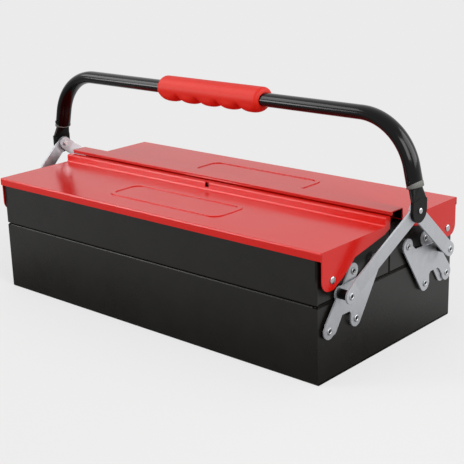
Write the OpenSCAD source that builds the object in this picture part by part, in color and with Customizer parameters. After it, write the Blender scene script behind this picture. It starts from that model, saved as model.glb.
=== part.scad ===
// Cantilever tool box: a sheet-steel base, two trays that swing up and outwards on paired links,
// a hinged lid on each tray and one bail handle whose arms work the links.
// X runs along the box, +Y is the rear, Z is up, and the origin is under the middle of the base.

/* [Box] */
// Length of the base and of the trays
body_len = 420; // [340:5:520]
// Depth of the base, front to rear
body_depth = 214; // [200:2:250]
// Height of the base up to its rim
base_height = 72; // [66:1:90]
// Height of a closed tray with its lid, above the base
tray_height = 49; // [46:1:56]
// Thickness of the sheet steel
sheet = 1; // [0.8:0.1:1.2]
// Outside radius of the folded edges
fold_r = 1.4; // [1.3:0.1:2]
// Width of the folded rims
rim_width = 5; // [4.5:0.5:7]
// Depth of the folded rims
rim_drop = 4; // [3:0.5:6]
// Width of the weld flanges inside the end plates
weld_flange = 12; // [8:1:20]

/* [Lids] */
// Height of the lid's front skirt
skirt_height = 7.5; // [6:0.5:9]
// How far the lid's ends stand out past the tray's ends
lid_overhang = 3.8; // [3.8:0.1:4.6]
// Half width of the raised middle ridge of the two lids
ridge_half = 14; // [12:1:18]
// Height of the front lid's step
ridge_step = 8; // [6:0.5:10]
// How much higher the rear lid's step is, which leaves a slot between the lids
ridge_lip = 3.5; // [3.2:0.1:5]
// Width of the ledge on the front lid's step
ridge_ledge = 8; // [6:0.5:9]
// Depth of the hem folded down at the ledge's edge
ridge_hem = 5; // [4:0.5:6]
// Depth of the lid's end flange beside the ridge
flange_small = 7; // [5:0.5:9]
// Depth of the lid's end flange where the ear starts
flange_big = 16; // [13:0.5:18]
// Length of the pressed panel on a lid
panel_len = 150; // [100:5:200]
// Width of the pressed panel on a lid
panel_width = 44; // [30:2:50]
// Width of the bead round the pressed panel
panel_bead = 4; // [3:0.5:6]
// Rise of the bead above the lid
panel_rise = 0.8; // [0.4:0.1:1.2]
// Width of the notch in the ridge
notch_width = 5; // [4:0.5:8]

/* [Links] */
// Thickness of the link plates and ties
link_t = 1.5; // [1.2:0.1:1.6]
// Width of a tie and of the narrow lobes
link_width = 15; // [13:0.5:16]
// Inset of the rocker's base pivot from the box's long side
rocker_inset = 51; // [48:1:54]
// Radius of the rocker's lobe at the arm
arm_lobe_r = 6.5; // [6:0.5:8]
// Drop of the rocker's base pivot below the base's rim
rocker_drop = 24; // [22:1:26]
// How far the tray pivot lies inwards of the base pivot
link_in = 30; // [28:1:32]
// How far the tray pivot lies above the base pivot
link_up = 44; // [42:1:46]
// Distance from the rocker's pivots to the tie's pivots
tie_gap = 32; // [31:1:33]
// Distance from the base pivot to the rocker's outer lobe
lobe_gap = 39; // [38:1:40]
// How far the arm's pivot lies outwards of the base pivot
arm_out = 24; // [22:1:26]
// How far the arm's pivot lies above the base pivot
arm_up = 30; // [28:1:31]
// Inset of the lid's pivot from the box's long side
lid_pivot_inset = 14.5; // [14:0.5:16]
// Drop of the lid's pivot below the lid's top
lid_pivot_drop = 27.5; // [26:0.5:28]
// Radius of the lid's ear round its pivot
ear_r = 9; // [8:0.5:10]

/* [Rivets] */
// Radius of a pivot rivet's shank
rivet_r = 2; // [1.6:0.1:2.3]
// Radius of a pivot rivet's head
rivet_head_r = 3.4; // [3:0.1:4]
// Height of a pivot rivet's head
rivet_head_h = 1; // [0.8:0.1:1.4]
// Running clearance of a pivot, on the radius
pivot_fit = 0.05; // [0.03:0.01:0.08]

/* [Handle] */
// Diameter of the handle tube
tube_d = 13; // [12:0.5:15]
// Wall of the handle tube
tube_wall = 1.2; // [1:0.1:2]
// Width of the oval handle tube, front to rear
tube_w = 19; // [17:0.5:20]
// Height of the tube's middle line above the lids
handle_rise = 96.5; // [90:1:130]
// Radius of the handle's bends, on the tube's middle line
bend_r = 55; // [40:1:60]
// Angle that each bend turns through
bend_turn = 77; // [74:1:82]
// Length of the grip
grip_len = 144; // [110:2:160]
// How much wider than high the grip is
grip_wide = 1.15; // [1.1:0.05:1.25]
// Radius of the grip's top
grip_r = 12.6; // [11:0.1:14]
// How far the finger lobes stand down past the grip's top radius
grip_lobe = 1.6; // [1:0.1:2.4]
// Depth of the cusps between the finger lobes
grip_cusp = 3.6; // [2.5:0.1:4]
// Number of finger lobes
grip_lobes = 5; // [3:1:6]

/* [Arms] */
// Width of an arm
arm_width = 14; // [13:0.5:16]
// Thickness of an arm
arm_t = 2; // [1.6:0.1:2.2]
// Length of the spacer sleeve under an arm
arm_spacer = 10; // [8:0.5:11]
// Outside radius of the spacer sleeve
spacer_r = 4.5; // [4:0.1:5]
// How far the arm's upper end stands out past its lower end
arm_offset = 10; // [9:0.5:12]
// Height of the handle's pivot above the lids
handle_pivot_rise = 16; // [15:0.5:18]
// Thickness of the handle's end plates
cheek_t = 3; // [2.5:0.1:3.5]
// Radius of the end plate round the pivot
cheek_r = 11; // [10:0.5:12]

/* [Clearances] */
// Gap between base and trays, and between the two trays' halves
seam = 0.5; // [0.4:0.1:0.8]
// Gap between faces of pieces that slide past each other
slip = 0.3; // [0.2:0.05:0.4]

/* [Hidden] */
$fn = 48;

black = "#2b2b2a";
red = "#e0352b";
steel = "#b9bec4";

half_len = body_len / 2;
half_depth = body_depth / 2;
tray_z = base_height + seam;
lid_top = tray_z + tray_height;
tray_in = seam;

// Pivots of the rear half, as [y, z]; the front half is its mirror image.
rocker_pivot = [half_depth - rocker_inset, base_height - rocker_drop];
tray_pivot = rocker_pivot + [-link_in, link_up];
tie_base = rocker_pivot + [tie_gap, 0];
tie_tray = tray_pivot + [tie_gap, 0];
lobe_pivot = rocker_pivot + [lobe_gap, 0];
arm_pivot = rocker_pivot + [arm_out, arm_up];
lid_pivot = [half_depth - lid_pivot_inset, lid_top - lid_pivot_drop];
handle_pivot = [0, lid_top + handle_pivot_rise];

// Layers past the end plates, from the box outwards.
tie_x = half_len + slip;
rocker_x = tie_x + link_t + slip;
flange_x = half_len + lid_overhang;
arm_x = rocker_x + link_t + arm_spacer + slip;
rear_arm_x = arm_x + arm_offset;
front_arm_x = rear_arm_x + arm_t + slip;
cheek_x = front_arm_x + arm_t + slip;

// The tray's outer wall stays inside the circle that the lid's underside sweeps round its pivot.
lid_under = lid_top - sheet;
sweep_r = lid_under - lid_pivot[1] - slip;
tray_rim_in = lid_under - slip;
tray_rim_out = lid_pivot[1] + sqrt(pow(sweep_r, 2) - pow(lid_pivot_inset, 2)) - slip;

// ---- sheet metal and plates ----

function left_of(v) = [-v[1], v[0]] / norm(v);
function cross2(a, b) = a[0] * b[1] - a[1] * b[0];
function turned(v, a) = [v[0] * cos(a) - v[1] * sin(a), v[0] * sin(a) + v[1] * cos(a)];

// Points of the bend of radius r that replaces corner i of a path.
function bend(path, i, r, steps) =
    let(a = path[i] - path[i - 1], b = path[i + 1] - path[i],
        side = sign(cross2(a, b)),
        start = left_of(a), stop = left_of(b),
        centre = path[i] + (start + stop) * side * r / (1 + start * stop),
        turn = side * acos(min(1, start * stop)))
    [for (k = [0 : steps]) centre - side * r * turned(start, turn * k / steps)];

// A path whose inner corners are bent to radius r.
function folded(path, r, steps = 4) = [
    path[0],
    for (i = [1 : len(path) - 2]) each bend(path, i, r, steps),
    path[len(path) - 1]];

// The path moved to its left by d, mitred at its corners.
function beside(path, d) = [for (i = [0 : len(path) - 1])
    let(a = i == 0 ? path[1] - path[0] : path[i] - path[i - 1],
        b = i == len(path) - 1 ? a : path[i + 1] - path[i],
        m = left_of(a) + left_of(b))
    path[i] + m * d / (1 + left_of(a) * left_of(b))];

function reversed(list) = [for (i = [len(list) - 1 : -1 : 0]) list[i]];

// A curve from a to c that is pulled towards b.
function curve(a, b, c, steps = 8) = [for (k = [0 : steps])
    let(t = k / steps) (1 - t) * (1 - t) * a + 2 * t * (1 - t) * b + t * t * c];

// Sheet of thickness t on the left of a path.
module strip(path, t) {
    polygon(concat(path, reversed(beside(path, t))));
}

// A flat outline in Y and Z, given a thickness along X from x0 outwards.
module slab(x0, thick) {
    translate([x0, 0, 0]) rotate([90, 0, 90]) linear_extrude(thick) children();
}

// A profile in Y and Z that runs along X, centred on the box.
module along_box(length) {
    slab(-length / 2, length) children();
}

module both_ends() {
    children();
    mirror([1, 0, 0]) children();
}

// side 1 is the rear, side -1 the front.
module on_side(side) {
    if (side > 0) children();
    else mirror([0, 1, 0]) children();
}

module disc_at(p, r) {
    translate(p) circle(r);
}

// A pin's hole through everything near the end of the box.
module pivot_hole(p, r) {
    slab(half_len - 3 * sheet, cheek_x + 3 * cheek_t - half_len) disc_at(p, r + pivot_fit);
}

// A rivet with a domed head outside x_out, a shank and a set tail inside x_in.
module rivet(p, x_in, x_out, r = rivet_r, head_r = rivet_head_r, head_h = rivet_head_h) {
    tail_h = 0.8 * head_h;
    tail_r = r + 1;
    dome = [for (a = [0 : 15 : 90]) [head_r * cos(a), x_out + slip / 2 + head_h * (0.35 + 0.65 * sin(a))]];
    translate([0, p[0], p[1]]) rotate([0, 90, 0]) rotate_extrude()
        polygon(concat(
            [[0, x_in - slip / 2 - tail_h], [tail_r, x_in - slip / 2 - tail_h],
             [tail_r, x_in - slip / 2], [r, x_in - slip / 2],
             [r, x_out + slip / 2], [head_r, x_out + slip / 2]],
            dome));
}

module washer(p, x0, x1, outer_r) {
    slab(x0 + slip / 2, x1 - x0 - slip) difference() {
        disc_at(p, outer_r);
        disc_at(p, rivet_r + pivot_fit);
    }
}

// ---- base ----

function tub(y0, y1, z0, top0, top1) = folded([[y0, top0], [y0, z0], [y1, z0], [y1, top1]], fold_r);

// A rim folded inwards from a wall at y; dir points into the box.
module rim(y, top, dir) {
    path = dir > 0
        ? [[y + rim_width, top - rim_drop], [y + rim_width, top], [y, top], [y, top - rim_drop]]
        : [[y, top - rim_drop], [y, top], [y - rim_width, top], [y - rim_width, top - rim_drop]];
    strip(folded(path, fold_r), sheet);
}

module base_body() {
    color(black) {
        along_box(body_len)
            strip(tub(-half_depth, half_depth, 0, base_height - rim_drop, base_height - rim_drop), sheet);
        along_box(body_len) for (dir = [-1, 1]) translate([0, base_height - rim_drop])
            translate([-dir * half_depth + (dir > 0 ? 0 : -sheet), 0]) square([sheet, rim_drop - fold_r]);
        along_box(body_len - 2 * rim_width - 2 * seam) for (dir = [-1, 1]) rim(-dir * half_depth, base_height, dir);
    }
}

// An end plate folded in at the top and the bottom, cut to fit inside the sheet round it.
module end_plate(inside, bottom, top, top_rim) {
    profile = top_rim
        ? [[half_len - rim_width, top - rim_drop], [half_len - rim_width, top], [half_len, top],
           [half_len, bottom], [half_len - weld_flange, bottom]]
        : [[half_len, top], [half_len, bottom], [half_len - weld_flange, bottom]];
    intersection() {
        rotate([90, 0, 0]) translate([0, 0, -body_depth]) linear_extrude(2 * body_depth)
            strip(folded(profile, fold_r), -sheet);
        slab(half_len - 2 * weld_flange, 3 * weld_flange) polygon(inside);
    }
}

module base_end_plates() {
    inside = beside(tub(-half_depth, half_depth, 0, base_height, base_height), sheet);
    color(black) both_ends() difference() {
        end_plate(inside, sheet, base_height, true);
        for (side = [-1, 1]) on_side(side) {
            pivot_hole(rocker_pivot, rivet_r);
            pivot_hole(tie_base, rivet_r);
        }
    }
}

module base_pivot_rivets() {
    color(steel) both_ends() for (side = [-1, 1]) on_side(side)
        rivet(rocker_pivot, half_len - sheet, rocker_x + link_t);
}

module base_pivot_washers() {
    color(steel) both_ends() for (side = [-1, 1]) on_side(side)
        washer(rocker_pivot, half_len, rocker_x, link_width / 2);
}

// A flush pin: its end lies level with the tie's face, because the rocker passes over it.
module flush_pin(p) {
    tail_h = 0.8 * rivet_head_h;
    slab(half_len - sheet - slip / 2, tie_x + link_t - half_len + sheet + slip / 2) disc_at(p, rivet_r);
    slab(half_len - sheet - slip / 2 - tail_h, tail_h) disc_at(p, rivet_r + 1);
}

module tie_base_pins() {
    color(steel) both_ends() for (side = [-1, 1]) on_side(side) flush_pin(tie_base);
}

// ---- trays ----

module tray_body(side) {
    color(black) on_side(side) {
        along_box(body_len)
            strip(tub(tray_in, half_depth, tray_z, tray_rim_in, tray_rim_out - rim_drop), sheet);
        along_box(body_len) translate([half_depth - sheet, tray_rim_out - rim_drop])
            square([sheet, rim_drop - fold_r]);
        along_box(body_len - 2 * sheet - 2 * seam) rim(half_depth, tray_rim_out, -1);
    }
}

module tray_end_plates(side) {
    wall = beside(tub(tray_in, half_depth, tray_z, tray_rim_in, tray_rim_out), sheet);
    inside = concat(wall, [[lid_pivot[0], tray_rim_in]]);
    color(black) on_side(side) both_ends() difference() {
        end_plate(inside, tray_z + sheet, tray_rim_in, false);
        pivot_hole(tray_pivot, rivet_r);
        pivot_hole(tie_tray, rivet_r);
        pivot_hole(lid_pivot, rivet_r);
    }
}

module lid_rivets(side) {
    color(steel) on_side(side) both_ends()
        rivet(lid_pivot, half_len - sheet, flange_x + sheet);
}

module lid_washers(side) {
    color(steel) on_side(side) both_ends()
        washer(lid_pivot, half_len, flange_x, rivet_head_r + 1);
}

// ---- lids ----

// Outer face of the lid from the skirt, over the top and up the step. The front lid ends in a ledge
// with a hem, and the rear lid's higher strip reaches over the middle to just behind it.
function lid_path(side) =
    let(edge = half_depth + slip + sheet, step_top = lid_top + ridge_step, lip_top = step_top + ridge_lip,
        split = ridge_half - ridge_ledge)
    concat([[edge, lid_top - skirt_height], [edge, lid_top], [ridge_half, lid_top]],
        side < 0 ? [[ridge_half, step_top], [split, step_top], [split, step_top - ridge_hem]]
            : [[ridge_half, lip_top], [seam - split, lip_top]]);

// Outline of the lid's end flange: deep at the ear, and tapered towards the ridge.
function flange_outline() =
    let(p = lid_pivot, edge = half_depth - slip, round_r = ear_r + 1,
        round_c = [edge - round_r, p[1] + 1])
    concat(
        [[ridge_half, lid_under + sheet / 2], [ridge_half, lid_top - flange_small]],
        curve([p[0] - 3.6 * ear_r, lid_top - flange_big], p + [-2.2 * ear_r, -0.1 * ear_r],
              p + [-0.71 * ear_r, -0.71 * ear_r]),
        [for (a = [240 : 15 : 270]) p + ear_r * [cos(a), sin(a)]],
        [for (a = [285 : 15 : 360]) round_c + round_r * [cos(a), sin(a)]],
        [[edge, lid_under + sheet / 2]]);

// The front lid's end flange also closes the end of its step.
function step_end() =
    let(split = ridge_half - ridge_ledge, top = lid_top + ridge_step - sheet / 2)
    [[ridge_half + sheet, lid_top - flange_small], [ridge_half + sheet, lid_under + sheet / 2],
     [ridge_half - sheet / 2, lid_under + sheet / 2], [ridge_half - sheet / 2, top],
     [split + sheet / 2, top], [split + sheet / 2, lid_top - flange_small / 2]];

module pressed_panel() {
    centre = (half_depth + ridge_half) / 2;
    corner = panel_width / 4;
    module rounded(l, w, r) {
        square([l - 2 * r, w], center = true);
        square([l, w - 2 * r], center = true);
        for (x = [-1, 1], y = [-1, 1]) translate([x * (l / 2 - r), y * (w / 2 - r)]) circle(r);
    }
    translate([0, centre, lid_top - sheet / 2]) linear_extrude(sheet / 2 + panel_rise) difference() {
        rounded(panel_len, panel_width, corner);
        rounded(panel_len - 2 * panel_bead, panel_width - 2 * panel_bead, corner - panel_bead / 2);
    }
}

module lid(side) {
    lid_len = 2 * (flange_x + sheet);
    color(red) on_side(side) difference() {
        union() {
            along_box(lid_len) strip(folded(lid_path(side), 1.5 * sheet, 3), sheet);
            both_ends() slab(flange_x, sheet) {
                polygon(flange_outline());
                if (side < 0) polygon(step_end());
            }
            pressed_panel();
        }
        both_ends() pivot_hole(lid_pivot, rivet_r);
        if (side < 0) translate([-notch_width / 2, ridge_half - 2 * sheet, lid_top + ridge_step - notch_width])
            cube([notch_width, 3 * sheet, notch_width + sheet]);
    }
}

// ---- rockers and ties ----

// Stamped rocker: a narrow lobe at the tray, two lobes below with a notch between, and the arm's lobe.
module rocker_outline() {
    r = link_width / 2;
    along = (tray_pivot - rocker_pivot) / norm(tray_pivot - rocker_pivot);
    inner = r * left_of(along);
    arm_r = arm_lobe_r;
    notch_top = rocker_pivot[1] + 1.25 * r;
    polygon([tray_pivot + inner, rocker_pivot + inner, rocker_pivot + [r, 0],
        [rocker_pivot[0] + r, notch_top - r / 3], [rocker_pivot[0] + 1.3 * r, notch_top],
        [lobe_pivot[0] - 2.2 * r, notch_top], [lobe_pivot[0] - 1.7 * r, notch_top - r / 3],
        lobe_pivot + [-r, 0], lobe_pivot + [r, 0], lobe_pivot + [0.7 * r, 0.9 * r],
        arm_pivot + arm_r * [cos(-40), sin(-40)], arm_pivot + arm_r * [cos(110), sin(110)],
        tray_pivot + [1.7 * r, -0.75 * r], tray_pivot + [r, -0.1 * r]]);
    disc_at(tray_pivot, r);
    disc_at(rocker_pivot, r);
    disc_at(lobe_pivot, r);
    disc_at(arm_pivot, arm_r);
}

module rockers(side) {
    color(steel) on_side(side) both_ends() difference() {
        slab(rocker_x, link_t) rocker_outline();
        for (p = [tray_pivot, rocker_pivot, lobe_pivot, arm_pivot]) pivot_hole(p, rivet_r);
    }
}

// The outer lobe's hole is closed by a short blind rivet.
module lobe_rivets(side) {
    color(steel) on_side(side) both_ends() {
        slab(rocker_x, link_t) disc_at(lobe_pivot, rivet_r);
        slab(rocker_x + link_t, 0.6 * rivet_head_h) disc_at(lobe_pivot, rivet_head_r);
    }
}

module tray_rivets(side) {
    color(steel) on_side(side) both_ends()
        rivet(tray_pivot, half_len - sheet, rocker_x + link_t);
}

module tray_washers(side) {
    color(steel) on_side(side) both_ends()
        washer(tray_pivot, half_len, rocker_x, link_width / 2 - 0.5);
}

// A straight bar with round ends between two points.
module bar(a, b, w) {
    side = w / 2 * left_of(b - a);
    polygon([a + side, a - side, b - side, b + side]);
    disc_at(a, w / 2);
    disc_at(b, w / 2);
}

module ties(side) {
    color(steel) on_side(side) both_ends() difference() {
        slab(tie_x, link_t) bar(tie_base, tie_tray, link_width - 1);
        pivot_hole(tie_base, rivet_r);
        pivot_hole(tie_tray, rivet_r);
    }
}

module tie_pins(side) {
    color(steel) on_side(side) both_ends() flush_pin(tie_tray);
}

// ---- handle ----

leg_len = 18;
joint_lap = 1;
bend_swell = 0.1;
tube_end_x = cheek_x - 0.2 * tube_d;
bend_start_x = tube_end_x - leg_len * cos(bend_turn) - bend_r * sin(bend_turn);
tube_top_z = lid_top + handle_rise;
bend_stop = [bend_start_x + bend_r * sin(bend_turn), tube_top_z - bend_r * (1 - cos(bend_turn))];
tube_end = bend_stop + leg_len * [cos(bend_turn), -sin(bend_turn)];

// Puts +Z of its children along the leg, pointing down, at a distance from the tube's end.
module on_leg(back) {
    translate([tube_end[0] - back * cos(bend_turn), 0, tube_end[1] + back * sin(bend_turn)])
        rotate([0, 90 + bend_turn, 0]) children();
}

// Section of the oval tube, or of its bore, this far inside its outer face.
module tube_section(inside) {
    half_d = tube_d / 2 - inside;
    scale([1, (tube_w / 2 - inside) / half_d]) circle(r = half_d);
}

// The tube's run: top, two bends and two legs, lapped where they meet.
module tube_run(inside, past_end) {
    rotate([0, 90, 0]) translate([-tube_top_z, 0, -bend_start_x - joint_lap])
        linear_extrude(2 * (bend_start_x + joint_lap)) tube_section(inside);
    both_ends() {
        translate([bend_start_x, 0, tube_top_z - bend_r]) rotate([90, 0, 0])
            rotate([0, 0, 90 - bend_turn]) rotate_extrude(angle = bend_turn)
                translate([bend_r, 0]) tube_section(inside - bend_swell / 2);
        on_leg(leg_len + joint_lap) linear_extrude(leg_len + joint_lap + past_end) tube_section(inside);
    }
}

module handle_tube() {
    color(black) difference() {
        tube_run(0, 0);
        tube_run(tube_wall, joint_lap);
    }
}

// Grip: round above, five finger lobes below.
module handle_grip() {
    pitch = grip_len / grip_lobes;
    low_r = grip_r + grip_lobe;
    end_r = 4;
    lobes = [for (i = [0 : grip_lobes - 1], k = [0 : 7])
        let(u = k / 8)
        [low_r - grip_cusp * pow(abs(2 * u - 1), 2.6), (i + u - grip_lobes / 2) * pitch]];
    smooth = concat(
        [for (a = [-90 : 30 : 0]) [grip_r - end_r + end_r * cos(a), -grip_len / 2 + end_r + end_r * sin(a)]],
        [for (a = [0 : 30 : 90]) [grip_r - end_r + end_r * cos(a), grip_len / 2 - end_r + end_r * sin(a)]]);
    big = 2 * grip_len;
    color(red) translate([0, 0, tube_top_z]) difference() {
        scale([1, grip_wide, 1]) union() {
            intersection() {
                rotate([0, 90, 0]) rotate_extrude()
                    polygon(concat([[0, -grip_len / 2]], smooth, [[0, grip_len / 2]]));
                translate([-big / 2, -big / 2, -end_r]) cube(big);
            }
            intersection() {
                rotate([0, 90, 0]) rotate_extrude()
                    polygon(concat([[0, -grip_len / 2]], lobes,
                        [[low_r - grip_cusp, grip_len / 2], [0, grip_len / 2]]));
                translate([-big / 2, -big / 2, -big]) cube(big);
            }
        }
        rotate([0, 90, 0]) linear_extrude(big, center = true) tube_section(-pivot_fit);
    }
}

// End bracket: an oval plug in the tube's end, drawn down into a cheek plate for the arms' pivot.
function plug_outline(inside) =
    [for (a = [0 : 15 : 345]) [(tube_d / 2 - inside) * cos(a), (tube_w / 2 - inside) * sin(a)]];

module end_bracket() {
    plug_len = 12;
    plug_in = tube_wall + pivot_fit;
    inset = 0.3;  // the neck stays just inside the plug and the plate it joins
    neck_z = handle_pivot[1] + arm_width / 2 + 2 * slip;
    difference() {
        union() {
            on_leg(plug_len) linear_extrude(plug_len + sheet) polygon(plug_outline(plug_in));
            hull() {
                on_leg(0) linear_extrude(sheet / 2) polygon(plug_outline(plug_in + inset));
                translate([cheek_x + inset, inset - cheek_r, neck_z])
                    cube([cheek_t - 2 * inset, 2 * (cheek_r - inset), sheet]);
            }
            translate([cheek_x, -cheek_r, handle_pivot[1]])
                cube([cheek_t, 2 * cheek_r, neck_z + 2 * sheet - handle_pivot[1]]);
            slab(cheek_x, cheek_t) disc_at(handle_pivot, cheek_r);
        }
        pivot_hole(handle_pivot, rivet_r + 0.5);
    }
}

module handle_end_brackets() {
    color(black) both_ends() end_bracket();
}

module handle_pivot_rivets() {
    color(steel) both_ends()
        rivet(handle_pivot, rear_arm_x, cheek_x + cheek_t, rivet_r + 0.5, rivet_head_r, 1.4);
}

// A small rivet head on the front of each socket holds the tube in it.
module socket_rivets() {
    color(black) both_ends() on_leg(6) rotate([90, 0, 0])
        translate([0, 0, tube_w / 2]) cylinder(r = rivet_r, h = rivet_head_h);
}

// ---- arms ----

// Cranked arm: the flat outline, cut from a strip that steps outwards between its two pivots.
module arm(side, top_x) {
    span = handle_pivot - arm_pivot;
    length = norm(span);
    r = arm_width / 2;
    crank = [[arm_x + arm_t, -r], [arm_x + arm_t, 1.5 * r],
        [top_x + arm_t, length - 1.5 * r], [top_x + arm_t, length + r]];
    color(steel) on_side(side) difference() {
        translate([0, arm_pivot[0], arm_pivot[1]]) rotate([atan2(span[1], span[0]) - 90, 0, 0])
            intersection() {
                slab(arm_x - 1, top_x - arm_x + 2 * arm_t) bar([0, 0], [0, length], arm_width);
                rotate([90, 0, 0]) translate([0, 0, -arm_width]) linear_extrude(2 * arm_width)
                    strip(folded(crank, 3 * arm_t), arm_t);
            }
        pivot_hole(arm_pivot, rivet_r);
        pivot_hole(handle_pivot, rivet_r + 0.5);
    }
}

module arm_spacers(side) {
    color(steel) on_side(side) both_ends()
        slab(rocker_x + link_t + slip, arm_spacer) difference() {
            disc_at(arm_pivot, spacer_r);
            disc_at(arm_pivot, rivet_r + pivot_fit);
        }
}

module arm_rivets(side) {
    color(steel) on_side(side) both_ends() {
        slab(rocker_x + link_t + slip, arm_spacer + arm_t) disc_at(arm_pivot, rivet_r);
        slab(arm_x + arm_t, rivet_head_h) disc_at(arm_pivot, rivet_head_r);
    }
}

base_body();
base_end_plates();
base_pivot_rivets();
base_pivot_washers();
tie_base_pins();
tray_body(-1);  // front_tray_body
tray_end_plates(-1);  // front_tray_end_plates
lid_rivets(-1);  // front_lid_rivets
lid_washers(-1);  // front_lid_washers
tray_body(1);  // rear_tray_body
tray_end_plates(1);  // rear_tray_end_plates
lid_rivets(1);  // rear_lid_rivets
lid_washers(1);  // rear_lid_washers
lid(-1);  // front_lid
lid(1);  // rear_lid
rockers(-1);  // front_rockers
rockers(1);  // rear_rockers
lobe_rivets(-1);  // front_lobe_rivets
lobe_rivets(1);  // rear_lobe_rivets
tray_rivets(-1);  // front_tray_rivets
tray_rivets(1);  // rear_tray_rivets
tray_washers(-1);  // front_tray_washers
tray_washers(1);  // rear_tray_washers
ties(-1);  // front_ties
ties(1);  // rear_ties
tie_pins(-1);  // front_tie_pins
tie_pins(1);  // rear_tie_pins
handle_tube();
handle_grip();
handle_end_brackets();
handle_pivot_rivets();
socket_rivets();
both_ends() arm(-1, front_arm_x);  // front_arms
both_ends() arm(1, rear_arm_x);  // rear_arms
arm_spacers(-1);  // front_arm_spacers
arm_spacers(1);  // rear_arm_spacers
arm_rivets(-1);  // front_arm_rivets
arm_rivets(1);  // rear_arm_rivets
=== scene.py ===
from math import cos, pi, radians, sin

import bpy
import numpy as np
from mathutils import Matrix, Vector


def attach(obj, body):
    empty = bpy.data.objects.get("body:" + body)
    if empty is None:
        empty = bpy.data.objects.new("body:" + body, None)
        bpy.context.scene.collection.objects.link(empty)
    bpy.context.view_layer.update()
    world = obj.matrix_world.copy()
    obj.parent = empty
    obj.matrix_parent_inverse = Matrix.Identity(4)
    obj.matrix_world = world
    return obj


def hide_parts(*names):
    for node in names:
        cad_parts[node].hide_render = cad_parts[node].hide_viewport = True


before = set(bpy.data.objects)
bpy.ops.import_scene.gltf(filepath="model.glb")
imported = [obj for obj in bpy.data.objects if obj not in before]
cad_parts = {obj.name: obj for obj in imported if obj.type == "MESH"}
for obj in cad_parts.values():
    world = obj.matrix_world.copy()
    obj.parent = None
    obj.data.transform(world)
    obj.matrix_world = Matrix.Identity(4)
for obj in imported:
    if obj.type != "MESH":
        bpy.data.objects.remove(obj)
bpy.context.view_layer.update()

# ---- camera ----
# A long lens a little above the lids, off the right front corner, so that the front, the right
# end with its links and both lid tops show together.
CAMERA_TURN, CAMERA_RISE, CAMERA_ROLL = radians(41.99), radians(17.26), radians(-1.70)
CAMERA_AWAY, CAMERA_SIDE, CAMERA_UP = 1.150, -0.0126, -0.0701
LENS_MM, SENSOR_MM, CLIP_END = 84.9, 36, 50

towards = Vector((sin(CAMERA_TURN) * cos(CAMERA_RISE), -cos(CAMERA_TURN) * cos(CAMERA_RISE),
                  sin(CAMERA_RISE)))
level_right = Vector((cos(CAMERA_TURN), sin(CAMERA_TURN), 0))
level_up = towards.cross(level_right)
right = level_right * cos(CAMERA_ROLL) + level_up * sin(CAMERA_ROLL)
up = level_up * cos(CAMERA_ROLL) - level_right * sin(CAMERA_ROLL)
camera = bpy.data.objects.new("camera", bpy.data.cameras.new("camera"))
bpy.context.scene.collection.objects.link(camera)
to_place = Matrix.Translation(towards * CAMERA_AWAY - right * CAMERA_SIDE - up * CAMERA_UP)
camera.matrix_world = to_place @ Matrix((right, up, towards)).transposed().to_4x4()
camera.data.sensor_width = SENSOR_MM
camera.data.lens = LENS_MM
camera.data.clip_end = CLIP_END
bpy.context.scene.camera = camera
bpy.context.scene.view_settings.view_transform = "Standard"

# ---- room ----
# A plain pale grey room stands all round. The eye and the polished faces see that grey, and the
# light that it gives the box is a little weaker.
ROOM_GREY = "#ebebeb"
ROOM_LIGHT, ROOM_LIGHT_STRENGTH = "#f4f4f4", 0.68


def linear(hex_colour, strength=1.0):
    """An sRGB hex colour as linear RGBA: each channel by the sRGB curve, times the strength."""
    parts = [int(hex_colour[i:i + 2], 16) / 255 for i in (1, 3, 5)]
    return [strength * (c / 12.92 if c <= 0.04045 else ((c + 0.055) / 1.055) ** 2.4) for c in parts] + [1.0]


def node(tree, kind, settings=None, **inputs):
    """Adds one node. Settings are its own options; each input is a value, or a socket to link from.

    An input's name has _ for a space, or is inN for the node's Nth input.
    """
    made = tree.nodes.new(kind)
    for key, value in (settings or {}).items():
        setattr(made, key, value)
    for key, value in inputs.items():
        place = int(key[2:]) if key.startswith("in") and key[2:].isdigit() else key.replace("_", " ")
        if isinstance(value, bpy.types.NodeSocket):
            tree.links.new(value, made.inputs[place])
        else:
            made.inputs[place].default_value = value
    return made


def seen_or_mirrored(tree):
    """1 for a ray from the camera, off a polished face or through glass; 0 for one that lights a surface."""
    path = node(tree, "ShaderNodeLightPath")
    seen = node(tree, "ShaderNodeMath", {"operation": "MAXIMUM"}, in0=path.outputs["Is Camera Ray"],
                in1=path.outputs["Is Glossy Ray"])
    return node(tree, "ShaderNodeMath", {"operation": "MAXIMUM"}, in0=seen.outputs[0],
                in1=path.outputs["Is Transmission Ray"]).outputs[0]


world = bpy.data.worlds.new("pale room")
bpy.context.scene.world = world
world.use_nodes = True
room = world.node_tree
room.nodes.clear()
lighting = node(room, "ShaderNodeBackground", Color=linear(ROOM_LIGHT), Strength=ROOM_LIGHT_STRENGTH)
backdrop = node(room, "ShaderNodeBackground", Color=linear(ROOM_GREY), Strength=1.0)
walls = node(room, "ShaderNodeMixShader", in0=seen_or_mirrored(room), in1=lighting.outputs[0],
             in2=backdrop.outputs[0])
node(room, "ShaderNodeOutputWorld", Surface=walls.outputs[0])

# ---- floor ----
# A seamless sheet of matt studio paper, white close to the box and the room's grey further out.
# Polished faces see it dark right beside the box, and greyer in front than past the right end.
FLOOR_SIZE = 12.0

# The paper's colour to the eye, and its colour where it throws light up at the box or is mirrored.
PAPER_WHITE, PAPER_GREY = "#f6f6f6", "#808080"

# The shaded patch's middle and half sizes, and how far past it the paper turns to the room's grey,
# as the eye sees it and as polished faces do.
SHADE_MIDDLE, SHADE_HALF = (0.0, -0.06, 0.0), (0.21, 0.05, 0.0)
SEEN_REACH, MIRRORED_REACH = 0.50, 0.18

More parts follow.
